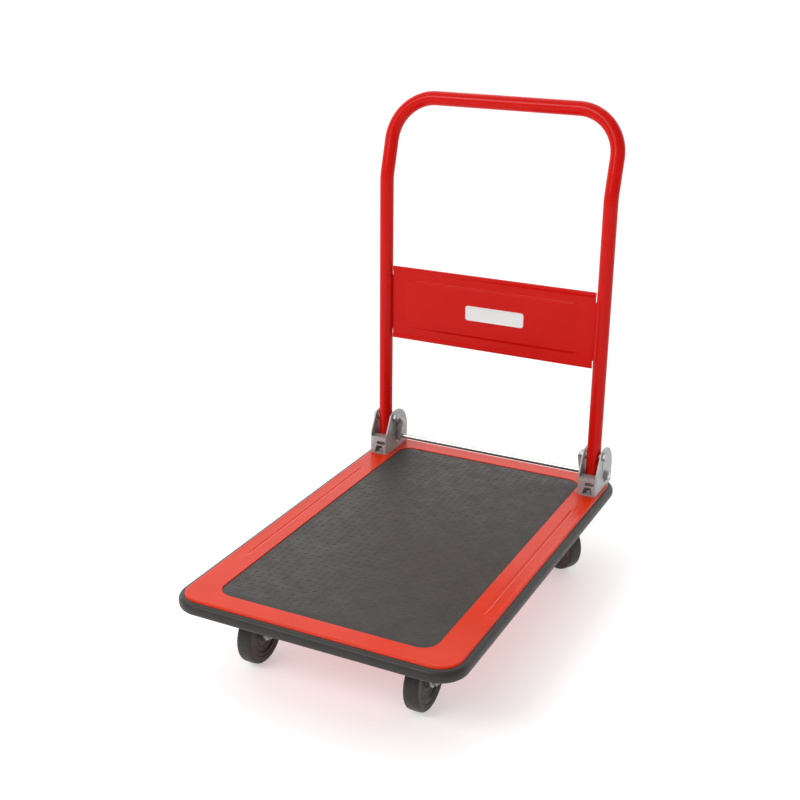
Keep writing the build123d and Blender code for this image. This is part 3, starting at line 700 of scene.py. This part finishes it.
    def lozenge(self) -> tuple[np.ndarray, list[list[int]]]:
        """One tread lozenge: rings of 8 points whose width falls with the cosine of the angle's share.

        Returns:
            Points about its centre on the mat's surface, and its faces.
        """
        angles = np.radians(np.arange(8) * 45.0)
        long, wide = np.cos(angles), np.sin(angles)
        rings = [(1.0, 1.0, -0.2 * MM), (1.0, 1.0, 0.0), (0.86, 0.72, 0.75 * self.tread_rise),
                 (0.66, 0.34, self.tread_rise)]
        points = np.concatenate([
            stacked(long * a * self.tread_length / 2, wide * b * self.tread_width / 2, z)
            for a, b, z in rings
        ])
        faces = [
            [8 * r + k, 8 * r + (k + 1) % 8, 8 * (r + 1) + (k + 1) % 8, 8 * (r + 1) + k]
            for r in range(len(rings) - 1) for k in range(8)
        ]
        faces += [list(range(7, -1, -1)), list(range(8 * (len(rings) - 1), 8 * len(rings)))]
        return points, faces

    def bumper(self) -> None:
        """The bumper: a rounded section with a fine bead low on its outside, hooked under the tray's rim."""
        low, high, size = box_size("edge_bumper")
        tray_low, _, tray = box_size("deck_tray")
        bulge = (size.x - tray.x) / 2
        height = high.z - low.z
        c, s = arc(15, 90.0, -90.0)
        flat = 0.7 * MM
        out = flat + (bulge - flat) * c ** 0.8
        rise = (low.z + high.z) / 2 + height / 2 * np.sign(s) * np.abs(s) ** 0.82
        bead = self.bead * np.exp(-(((rise - low.z - 2.6 * MM) / (0.7 * MM)) ** 2))
        out = np.minimum(out + bead, bulge)
        offset = np.concatenate([out, [-self.bumper_lip, -self.bumper_lip, 0.0, 0.0]])
        z = np.concatenate([rise, [low.z, tray_low.z, tray_low.z, high.z]])
        rings = self.walk.rings(tray.x / 2 + offset, tray.y / 2 + offset, self.corner + offset, z)
        shell = Shell()
        shell.grid(rings, round_rows=True, round_columns=True)
        shell.piece("edge_bumper_extrusion", "deck", Slot.BUMPER, ("edge_bumper",), sharp=50.0)

    def under_frame(self) -> None:
        """Mounting plates, stiffeners, studs and nuts under the tray."""
        for node in ("castor_mount_plate_front", "castor_mount_plate_rear",
                     "deck_stiffener_left", "deck_stiffener_right"):
            softened(node, Slot.RED, "deck", 0.4 * MM)
        for node in ("castor_nuts", "castor_studs"):
            softened(node, Slot.FASTENER, "deck", 0.5 * MM)

    def build(self) -> None:
        """Builds the whole deck."""
        self.tray()
        self.mat()
        self.bumper()
        self.under_frame()


# ---------------------------------------------------------------- handle


def bent_path(points: np.ndarray, radii: list[float], step: float = 4.0) -> np.ndarray:
    """Straight runs joined by tangent arcs: each arc's point is centre + r (cos a, sin a) in the corner's plane.

    Args:
        points: corner points, n x 3.
        radii: a radius for each inner corner.
        step: degrees between points on an arc.

    Returns:
        Points of the line, m x 3.
    """
    line = [points[:1]]
    for before, corner, after, radius in zip(points, points[1:], points[2:], radii):
        into = (corner - before) / np.linalg.norm(corner - before)
        out = (after - corner) / np.linalg.norm(after - corner)
        turn = math.acos(float(np.clip(into @ out, -1.0, 1.0)))
        start = corner - into * radius * math.tan(turn / 2)
        inward = out - into * (out @ into)
        inward /= np.linalg.norm(inward)
        angles = np.linspace(0.0, turn, max(4, int(math.degrees(turn) / step) + 1))[:, None]
        line.append(start + radius * (np.sin(angles) * into + (1.0 - np.cos(angles)) * inward))
    line.append(points[-1:])
    return np.concatenate(line)


def carried(line: np.ndarray, profile: np.ndarray, upright: np.ndarray) -> np.ndarray:
    """Carries a profile along a line; its first axis stays as near to upright as the line lets it.

    Args:
        line: points of the line, n x 3.
        profile: m x 2 offsets, across and along the second normal.
        upright: the direction that the first normal follows.

    Returns:
        Array of n x m x 3.
    """
    tangent = np.gradient(line, axis=0)
    tangent /= np.linalg.norm(tangent, axis=1, keepdims=True)
    first = upright[None, :] - tangent * (tangent @ upright)[:, None]
    first /= np.linalg.norm(first, axis=1, keepdims=True)
    second = np.cross(tangent, first)
    return (line[:, None, :] + profile[None, :, 0, None] * first[:, None, :]
            + profile[None, :, 1, None] * second[:, None, :])


def circle(radius: float, count: int) -> np.ndarray:
    """A circle of points, count x 2."""
    c, s = arc(count + 1, 0.0, 360.0)
    return radius * np.stack([c[:-1], s[:-1]], axis=-1)


@dataclass
class Handle:
    """Bent tube, cross panel, badge and end plugs."""

    radius: float = 12.5 * MM
    wall: float = 1.5 * MM
    lean: float = 16.4
    kink_height: float = 670.0 * MM
    kink_bend: float = 60.0 * MM
    corner_bend: float = 77.0 * MM
    end_gap: float = 2.0 * MM
    roll_height: float = 9.0 * MM
    roll_half: float = 1.8 * MM
    web_half: float = 0.6 * MM
    tab_inset: float = 17.0 * MM
    tab_wrap: float = 75.0
    field_inset: float = 24.5 * MM
    field_end: float = 34.0 * MM
    field_fade: float = 34.0 * MM
    field_step: float = 4.0 * MM
    field_rise: float = 2.6 * MM
    badge_corner: float = 5.0 * MM

    def __post_init__(self) -> None:
        """Reads the handle's place from the frame."""
        low, high, _ = box_size("handle_tube")
        self.tube_x = high.x - self.radius
        self.tube_y = low.y + self.radius
        self.bottom = low.z
        self.top = high.z - self.radius

    def tube(self) -> None:
        """The tube: two legs, a lean back and a top bar, hollow and open at its feet."""
        back = self.tube_y + (self.top - self.kink_height) * math.tan(math.radians(self.lean))
        corners = np.array([
            (-self.tube_x, self.tube_y, self.bottom), (-self.tube_x, self.tube_y, self.kink_height),
            (-self.tube_x, back, self.top), (self.tube_x, back, self.top),
            (self.tube_x, self.tube_y, self.kink_height), (self.tube_x, self.tube_y, self.bottom)])
        line = bent_path(corners, [self.kink_bend, self.corner_bend, self.corner_bend, self.kink_bend])
        upright = np.array([0.0, 1.0, 0.0])
        outer = carried(line, circle(self.radius, 48), upright)
        inner = carried(line, circle(self.radius - self.wall, 48), upright)
        outer[0, :, 2] = outer[-1, :, 2] = inner[0, :, 2] = inner[-1, :, 2] = self.bottom
        shell = Shell()
        shell.grid(np.concatenate([outer, inner[::-1]]), round_rows=True, round_columns=True)
        shell.piece("handle_tube_bent", "handle", Slot.RED, ("handle_tube",), sharp=60.0)

    def panel(self) -> None:
        """The cross panel: a web between two rolled edges, with a field pressed out and a tab at each end.

        Half thickness is that of the web, rising to a half round at the rolled edges. The field's push is its
        rise times a plateau across the height, with short steps, times a plateau along X, with long fades.
        """
        low, high, _ = box_size("cross_panel")
        end = self.tube_x - self.radius - self.end_gap
        roll = self.roll_height / 2
        _, s = arc(9, -90.0, 90.0)
        rise = np.concatenate([
            low.z + roll + roll * s[:5], [low.z + roll + roll * 0.6],
            [low.z + self.roll_height, low.z + self.roll_height + 1.0 * MM],
            np.linspace(low.z + self.roll_height + 2.0 * MM, low.z + self.field_inset - self.field_step, 4),
            np.linspace(low.z + self.field_inset - self.field_step / 2, low.z + self.field_inset + self.field_step, 9),
            np.linspace(low.z + self.field_inset + 2 * self.field_step, (low.z + high.z) / 2, 8)])
        rise = np.unique(np.round(rise, 7))
        rise = np.concatenate([rise, (low.z + high.z) - rise[::-1][1:]])
        edge = np.minimum(rise - low.z, high.z - rise)
        bulb = self.roll_half * np.sqrt(np.clip(1.0 - np.abs((edge - roll) / roll) ** 2.6, 0.0, 1.0))
        web = self.web_half * smooth(edge / (2.0 * MM))
        half = np.maximum(bulb, np.where(edge > roll, web, 0.0))
        x = np.concatenate([np.linspace(-end, -end + 0.4 * MM, 2), np.linspace(-end + 3 * MM, end - 3 * MM, 130),
                            np.linspace(end - 0.4 * MM, end, 2)])
        push = self.field_rise * (
            plateau(rise, low.z + self.field_inset - self.field_step / 2,
                    high.z - self.field_inset + self.field_step / 2, self.field_step)[None, :]
            * plateau(x, -end + self.field_end - 10 * MM, end - self.field_end + 10 * MM, self.field_fade)[:, None])
        front = self.tube_y - half[None, :] - push
        rear = self.tube_y + half[None, :] - push
        y = np.concatenate([front, rear[:, ::-1]], axis=1)
        z = np.concatenate([rise, rise[::-1]])
        shell = Shell()
        shell.tube(stacked(x[:, None], y, z))
        for side in Side:
            shell.tube(self.tab(side, low.z + self.tab_inset, high.z - self.tab_inset))
        shell.piece("cross_panel_pressed", "handle", Slot.RED, ("cross_panel",), sharp=50.0)

    def tab(self, side: Side, bottom: float, top: float) -> np.ndarray:
        """A tab from the web round the front of a tube: a strip at a constant gap from the tube's axis.

        Args:
            side: which tube.
            bottom: its lower end.
            top: its upper end.

        Returns:
            Rings of points from bottom to top.
        """
        thick = 2 * self.web_half
        sweep = np.radians(np.linspace(0.0, self.tab_wrap, 16))
        outer = self.radius + thick
        x_out, y_out = -outer * np.cos(sweep), -outer * np.sin(sweep)
        last = sweep[-1] + np.radians([1.6, 2.2])
        inner = self.radius + 0.02 * MM
        x_in, y_in = -inner * np.cos(sweep[::-1]), -inner * np.sin(sweep[::-1])
        mid = np.array([outer - 0.2 * MM, outer - 0.6 * MM])
        root_x = -(self.radius + self.end_gap + 6.0 * MM)
        ring_x = np.concatenate([[root_x], x_out, -mid * np.cos(last), x_in, [root_x]])
        ring_y = np.concatenate([[-self.web_half * 0.98], y_out, -mid * np.sin(last), y_in, [self.web_half * 0.98]])
        ring_y[1] = -self.web_half
        heights = np.array([bottom, bottom + 0.3 * MM, top - 0.3 * MM, top])
        return stacked(side.value * (self.tube_x + ring_x), self.tube_y + ring_y, heights[:, None])

    def badge(self) -> None:
        """The blank badge: a rounded plate with a raised rim round a shallow field, and two rivet heads."""
        low, high, size = box_size("badge_plate")
        depth = size.y
        inset = np.array([0.0, 0.0, 0.12, 0.35, 1.6, 1.9, 2.3]) * MM
        rise = np.array([0.0, 0.62, 0.86, 1.0, 1.0, 0.72, 0.66]) * depth
        walk = RingWalk(6, 16, 8)
        rings = walk.rings(size.x / 2 - inset, size.z / 2 - inset, self.badge_corner - inset, rise)
        shell = Shell()
        shell.tube(rings)
        for side in Side:
            c, s = arc(6, 0.0, 86.0)
            dome = circle(1.0, 20)[None, :, :] * (1.7 * MM * c)[:, None, None]
            place = dome[..., 0] + side.value * (size.x / 2 - 6.5 * MM)
            shell.tube(stacked(place, dome[..., 1], (0.6 * depth + 0.4 * depth * s)[:, None]))
        centre = (low + high) / 2
        for block in shell.blocks:
            block[:] = stacked(centre.x + block[:, 0], high.y - block[:, 2], centre.z + block[:, 1])
        shell.piece("badge_plate_blank", "handle", Slot.BADGE, ("badge_plate",), sharp=40.0)

    def build(self) -> None:
        """Builds the whole handle."""
        self.tube()
        self.panel()
        self.badge()
        softened("tube_end_plugs", Slot.PLASTIC, "handle", 0.5 * MM)
        PAINT.dress(frame["nodes"]["pivot_sleeves"], Slot.ZINC)


# ---------------------------------------------------------------- hinge and release


@dataclass
class HingeAndRelease:
    """Hinge brackets with their bolts, and the sprung release bar with its links."""

    sheet_edge: float = 0.45 * MM
    thread_pitch: float = 1.5 * MM
    thread_depth: float = 0.45 * MM
    thread_length: float = 11.0 * MM
    wire: float = 1.2 * MM
    turns: float = 6.0

    def brackets(self) -> None:
        """Brackets, bolts, nuts and pins, with their pressed or rolled edges rounded."""
        for side in Side:
            softened(f"hinge_bracket_{side.word}", Slot.ZINC, "deck", self.sheet_edge)
            softened(f"release_link_{side.word}", Slot.ZINC, "release_bar", self.sheet_edge)
        for node in ("bracket_bolts", "bracket_nuts", "pivot_bolts", "pivot_nuts", "link_guide_pins"):
            softened(node, Slot.FASTENER, "deck", 0.6 * MM, 3)
        softened("release_rod_nuts", Slot.FASTENER, "release_bar", 0.6 * MM, 3)
        PAINT.dress(frame["nodes"]["pivot_spacers"], Slot.FASTENER)

    def rod(self) -> None:
        """The bar: a round rod whose ends carry a thread.

        Its radius at angle a and place x is r - depth (0.5 - 0.5 cos(2 pi x / pitch - a)) on the threads.
        """
        low, high, size = box_size("release_rod")
        radius = size.z / 2
        fine = np.arange(0.0, self.thread_length, self.thread_pitch / 8)
        x = np.concatenate([low.x + fine, np.linspace(low.x + self.thread_length, high.x - self.thread_length, 24),
                            high.x - fine[::-1]])
        c, s = arc(33, 0.0, 360.0)
        angle = np.radians(np.linspace(0.0, 360.0, 33))[:-1]
        from_end = np.minimum(x - low.x, high.x - x)
        on_thread = smooth((self.thread_length - from_end) / (1.0 * MM))
        wave = 0.5 - 0.5 * np.cos(2 * math.pi * x[:, None] / self.thread_pitch - angle[None, :])
        taper = 0.7 * MM * (1.0 - np.clip(from_end / (0.7 * MM), 0.0, 1.0))
        r = radius - self.thread_depth * wave * on_thread[:, None] - taper[:, None]
        y = (low.y + high.y) / 2 + r * c[:-1]
        z = (low.z + high.z) / 2 + r * s[:-1]
        shell = Shell()
        shell.tube(stacked(x[:, None], y, z))
        shell.piece("release_rod_threaded", "release_bar", Slot.ROD, ("release_rod",), sharp=50.0)

    def springs(self) -> None:
        """The return springs: a wire carried along a helix whose end turns lie closed.
        """
        low, high, size = box_size("release_springs")
        radius = size.y / 2 - self.wire / 2
        share = np.linspace(0.0, 1.0, 240)
        climb = smooth((share - 0.10) / 0.80) * 0.35 + 0.65 * np.clip((share - 0.10) / 0.80, 0.0, 1.0)
        angle = 2 * math.pi * self.turns * share
        shell = Shell()
        for side in Side:
            centre_x = side.value * (high.x - size.y / 2)
            line = stacked(centre_x + radius * np.cos(angle), (low.y + high.y) / 2 + radius * np.sin(angle),
                           low.z + self.wire / 2 + climb * (size.z - self.wire))
            shell.tube(carried(line, circle(self.wire / 2, 10), np.array([0.0, 0.0, 1.0])))
        coils = shell.piece("release_springs_coiled", "deck", Slot.SPRING, ("release_springs",), sharp=60.0)
        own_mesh(coils)

    def build(self) -> None:
        """Builds brackets, bar and springs."""
        self.brackets()
        self.rod()
        self.springs()


# ---------------------------------------------------------------- castors


def lathed(profile: np.ndarray, centre: Vector, axis: Vector, count: int) -> np.ndarray:
    """Turns a closed profile about an axle: point = centre + a axis + r (cos t up + sin t side).

    Args:
        profile: m x 2 points, along the axle and away from it.
        centre: the wheel's centre.
        axis: the axle's direction.
        count: steps round the axle.

    Returns:
        Array of count x m x 3.
    """
    along = np.array(axis.normalized())
    up = np.array([0.0, 0.0, 1.0])
    side = np.cross(along, up)
    c, s = arc(count + 1, 0.0, 360.0)
    spoke = c[:-1, None] * up + s[:-1, None] * side
    return (np.array(centre) + profile[None, :, 0, None] * along
            + profile[None, :, 1, None] * spoke[:, None, :])


@dataclass
class Castor:
    """One castor's fork, wheel and fastenings."""

    end: str
    side: Side
    radius: float = 50.0 * MM
    tyre_half: float = 12.5 * MM
    tyre_bore: float = 38.0 * MM
    shoulder: float = 4.2 * MM
    crown: float = 0.5 * MM
    core_half: float = 13.0 * MM
    hub: float = 12.0 * MM
    rim_half: float = 11.0 * MM
    rim_wall: float = 5.0 * MM
    web_half: float = 8.0 * MM
    bore: float = 6.08 * MM

    def __post_init__(self) -> None:
        """Finds the castor's names and its axle in the frame."""
        self.name = f"{self.end}_{self.side.word}"
        joint = next(j for j in frame["joints"] if j["name"] == f"{self.name}_wheel_spin")
        self.centre = Vector(joint["pos_m"])
        self.axis = Vector(joint["axis"])
        self.wheel_body = joint["child"]
        self.fork_body = joint["parent"]

    def tyre(self) -> None:
        """The tyre: crowned tread, round shoulders and a shallow step on each sidewall."""
        half, step = self.tyre_half, 0.7 * MM
        across = np.linspace(-1.0, 1.0, 9)
        tread_a = across * (half - self.shoulder)
        tread_r = self.radius - self.crown * across ** 2
        c, s = arc(6, 75.0, 8.0)
        right_a = half - self.shoulder + self.shoulder * c
        right_r = self.radius - self.crown - self.shoulder + self.shoulder * s
        wall_a = np.array([half, half, half - step, half - step, half - 1.6 * step])
        wall_r = np.array([self.tyre_bore + 5.6 * MM, self.tyre_bore + 4.2 * MM, self.tyre_bore + 3.6 * MM,
                           self.tyre_bore + 1.0 * MM, self.tyre_bore])
        side_a, side_r = np.concatenate([right_a, wall_a]), np.concatenate([right_r, wall_r])
        a = np.concatenate([tread_a, side_a, -side_a[::-1]])
        r = np.concatenate([tread_r, side_r, side_r[::-1]])
        shell = Shell()
        shell.grid(lathed(np.stack([a, r], axis=-1), self.centre, self.axis, 96),
                   round_rows=True, round_columns=True)
        shell.piece(f"{self.name}_tyre_moulded", self.wheel_body, Slot.TYRE, (f"{self.name}_tyre",), sharp=50.0)

    def core(self) -> None:
        """The wheel's core: hub, dished web and rim in one turned section, with a fine ring in the web."""
        rim_inner = self.tyre_bore - self.rim_wall
        edge = 0.8 * MM
        a = np.array([self.core_half - edge, self.core_half, self.core_half, self.core_half - edge,
                      self.web_half + 1.5 * MM, self.web_half, self.web_half, self.web_half - 0.8 * MM,
                      self.web_half - 0.8 * MM, self.web_half, self.web_half, self.web_half + 1.5 * MM,
                      self.rim_half - edge, self.rim_half, self.rim_half, self.rim_half - edge])
        r = np.array([self.bore, self.bore + edge, self.hub - edge, self.hub, self.hub + 0.6 * MM,
                      self.hub + 2.0 * MM, self.hub + 8.0 * MM, self.hub + 8.6 * MM, self.hub + 10.4 * MM,
                      self.hub + 11.0 * MM, rim_inner - 2.0 * MM, rim_inner - 0.6 * MM, rim_inner,
                      rim_inner + edge, self.tyre_bore - edge, self.tyre_bore - 0.05 * MM])
        profile = np.stack([np.concatenate([a, -a[::-1]]), np.concatenate([r, r[::-1]])], axis=-1)
        shell = Shell()
        shell.grid(lathed(profile, self.centre, self.axis, 64), round_rows=True, round_columns=True)
        shell.piece(f"{self.name}_wheel_core_moulded", self.wheel_body, Slot.PLASTIC,
                    (f"{self.name}_wheel_core",), sharp=35.0)

    def steelwork(self) -> None:
        """Fork, axle bolt and nut, and the swivel's plate, race and kingpin."""
        softened(f"{self.name}_fork", Slot.ZINC, self.fork_body, 0.5 * MM)
        for part in ("axle_bolt", "axle_nut"):
            softened(f"{self.name}_{part}", Slot.FASTENER, self.fork_body, 0.6 * MM, 3)
        PAINT.dress(frame["nodes"][f"{self.name}_axle_bush"], Slot.ZINC)
        if self.end == "rear":
            softened(f"{self.name}_swivel_plate", Slot.ZINC, "deck", 0.5 * MM)
            softened(f"{self.name}_kingpin", Slot.FASTENER, "deck", 0.6 * MM)
            PAINT.dress(frame["nodes"][f"{self.name}_swivel_balls"], Slot.BALL)

    def build(self) -> None:
        """Builds the castor."""
        self.tyre()
        self.core()
        self.steelwork()


# ---------------------------------------------------------------- studio


@dataclass
class Studio:
    """Pale floor, soft lights and the camera."""

    azimuth: float = 26.265
    elevation: float = 20.649
    roll: float = -0.513
    distance: float = 2.03
    target: Vector = field(default_factory=lambda: Vector((-0.0294, -0.0041, 0.3723)))
    lens: float = 56.365
    floor_shade: float = 0.70
    floor_glow: float = 0.45
    sky_near: float = 0.40
    sky_far: float = 1.65
    overhead_watts: float = 9.0
    key_watts: float = 62.0

    def camera(self) -> None:
        """Sets the camera on the line from the target at its azimuth and elevation."""
        a, e = math.radians(self.azimuth), math.radians(self.elevation)
        back = Vector((math.sin(a) * math.cos(e), -math.cos(a) * math.cos(e), math.sin(e)))
        data = bpy.data.cameras.new("camera")
        data.lens = self.lens
        data.sensor_width = 36.0
        camera = bpy.data.objects.new("camera", data)
        turn = back.to_track_quat("Z", "Y").to_matrix().to_4x4() @ Matrix.Rotation(math.radians(-self.roll), 4, "Z")
        camera.matrix_world = Matrix.Translation(self.target + self.distance * back) @ turn
        bpy.context.scene.collection.objects.link(camera)
        bpy.context.scene.camera = camera

    def softbox(self, name: str, place: tuple[float, float, float], aim: tuple[float, float, float],
                size: tuple[float, float], watts: float) -> None:
        """Adds a rectangular area light.

        Args:
            name: its name.
            place: its centre.
            aim: the point it faces.
            size: width and height.
            watts: its power.
        """
        data = bpy.data.lights.new(name, "AREA")
        data.shape = "RECTANGLE"
        data.size, data.size_y = size
        data.energy = watts
        lamp = bpy.data.objects.new(name, data)
        lamp.location = place
        lamp.rotation_euler = (Vector(place) - Vector(aim)).to_track_quat("Z", "Y").to_euler()
        bpy.context.scene.collection.objects.link(lamp)

    def floor(self) -> None:
        """A wide pale floor with a faint mottle."""
        mesh = bpy.data.meshes.new("studio_floor")
        reach = 30.0
        mesh.from_pydata([(-reach, -reach, 0), (reach, -reach, 0), (reach, reach, 0), (-reach, reach, 0)], [],
                         [(0, 1, 2, 3)])
        graph = Graph("studio_floor")
        grey = (self.floor_shade,) * 3
        cloud = graph.ranged(graph.noise(1.5, 2.0), 0.0, 1.0)
        graph.link(graph.blend(cloud, grey, shade(grey, 0.985)), "Base Color")
        graph.set(Roughness=0.9, Specular_IOR_Level=0.1, Emission_Color=(1.0, 1.0, 1.0, 1.0),
                  Emission_Strength=self.floor_glow)
        mesh.materials.append(graph.material)
        obj = bpy.data.objects.new("studio_floor", mesh)
        bpy.context.scene.collection.objects.link(obj)

    def sky(self) -> None:
        """A white sky that lights dimly from the open end's side and brightly from behind the handle.

        Its strength eases from near to far with the cosine of the angle to the far wall's direction. What
        is seen of it directly is plain white all round.
        """
        world = bpy.data.worlds.new("studio_sky")
        world.use_nodes = True
        tree = world.node_tree
        a = math.radians(self.azimuth)
        direction = tree.nodes.new("ShaderNodeTexCoord").outputs["Generated"]
        towards = tree.nodes.new("ShaderNodeVectorMath")
        towards.operation = "DOT_PRODUCT"
        towards.inputs[1].default_value = (-math.sin(a), math.cos(a), 0.0)
        tree.links.new(direction, towards.inputs[0])
        ease = tree.nodes.new("ShaderNodeMapRange")
        ease.interpolation_type = "SMOOTHSTEP"
        for key, number in (("From Min", -0.2), ("From Max", 0.75), ("To Min", self.sky_near),
                            ("To Max", self.sky_far)):
            ease.inputs[key].default_value = number
        tree.links.new(towards.outputs["Value"], ease.inputs["Value"])
        seen = tree.nodes.new("ShaderNodeMix")
        seen.inputs["B"].default_value = 1.0
        tree.links.new(tree.nodes.new("ShaderNodeLightPath").outputs["Is Camera Ray"], seen.inputs["Factor"])
        tree.links.new(ease.outputs["Result"], seen.inputs["A"])
        background = tree.nodes["Background"]
        background.inputs["Color"].default_value = (1.0, 1.0, 1.0, 1.0)
        tree.links.new(seen.outputs["Result"], background.inputs["Strength"])
        bpy.context.scene.world = world

    def build(self) -> None:
        """Builds floor, sky, lights and camera."""
        self.floor()
        self.sky()
        self.softbox("overhead", (-0.3, 0.2, 2.8), (0.0, 0.1, 0.2), (2.6, 2.6), self.overhead_watts)
        self.softbox("front_key", (-1.2, -2.6, 2.6), (0.0, 0.0, 0.3), (1.6, 1.2), self.key_watts)
        self.camera()
        bpy.context.scene.view_settings.view_transform = "Standard"


def corners(bounds: object) -> list[list[float]]:
    """Bounds as plain lists of numbers."""
    return [[float(value) for value in corner] for corner in bounds]


def main() -> None:
    """Builds the cart's pieces in order, then the studio."""
    logging.basicConfig(level=logging.INFO, format="%(name)s %(message)s")
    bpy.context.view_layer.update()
    Deck().build()
    Handle().build()
    HingeAndRelease().build()
    for end in ("front", "rear"):
        for side in Side:
            Castor(end, side).build()
    Studio().build()


if __name__ == "__main__":
    main()
